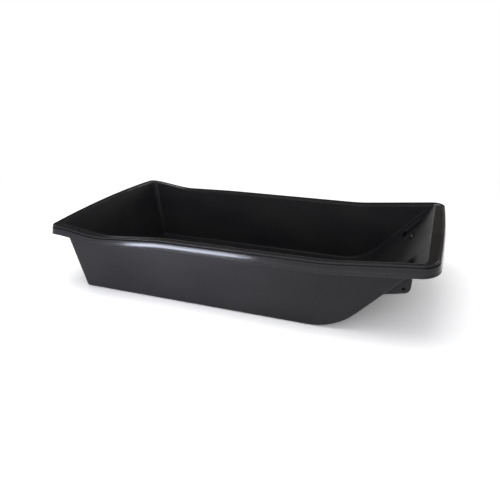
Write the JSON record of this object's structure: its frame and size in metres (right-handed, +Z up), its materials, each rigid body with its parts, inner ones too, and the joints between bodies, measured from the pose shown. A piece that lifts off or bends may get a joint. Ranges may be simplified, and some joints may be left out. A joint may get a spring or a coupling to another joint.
{
  "type": "ice fishing sled",
  "caption": "Moulded cargo sled: a deep tub with a rolled rim, an upswept bow ramp, a raised floor panel and hollow hitch ears for a tow bar.",
  "frame": {"origin": "on the ground, at the middle of the sled's length and width", "axes": "+X towards the bow, +Y to port, +Z up"},
  "size_m": [1.52, 0.8, 0.3149],
  "materials": {
    "hull_plastic": "black moulded polyethylene with a soft satin sheen",
    "zinc_steel": "dull zinc plating"
  },
  "bodies": {
    "root": {"hull": "hull_plastic", "ramp_bolt": "zinc_steel", "inner_washer": "zinc_steel", "outer_washer": "zinc_steel", "lock_nut": "zinc_steel"}
  },
  "joints": []
}
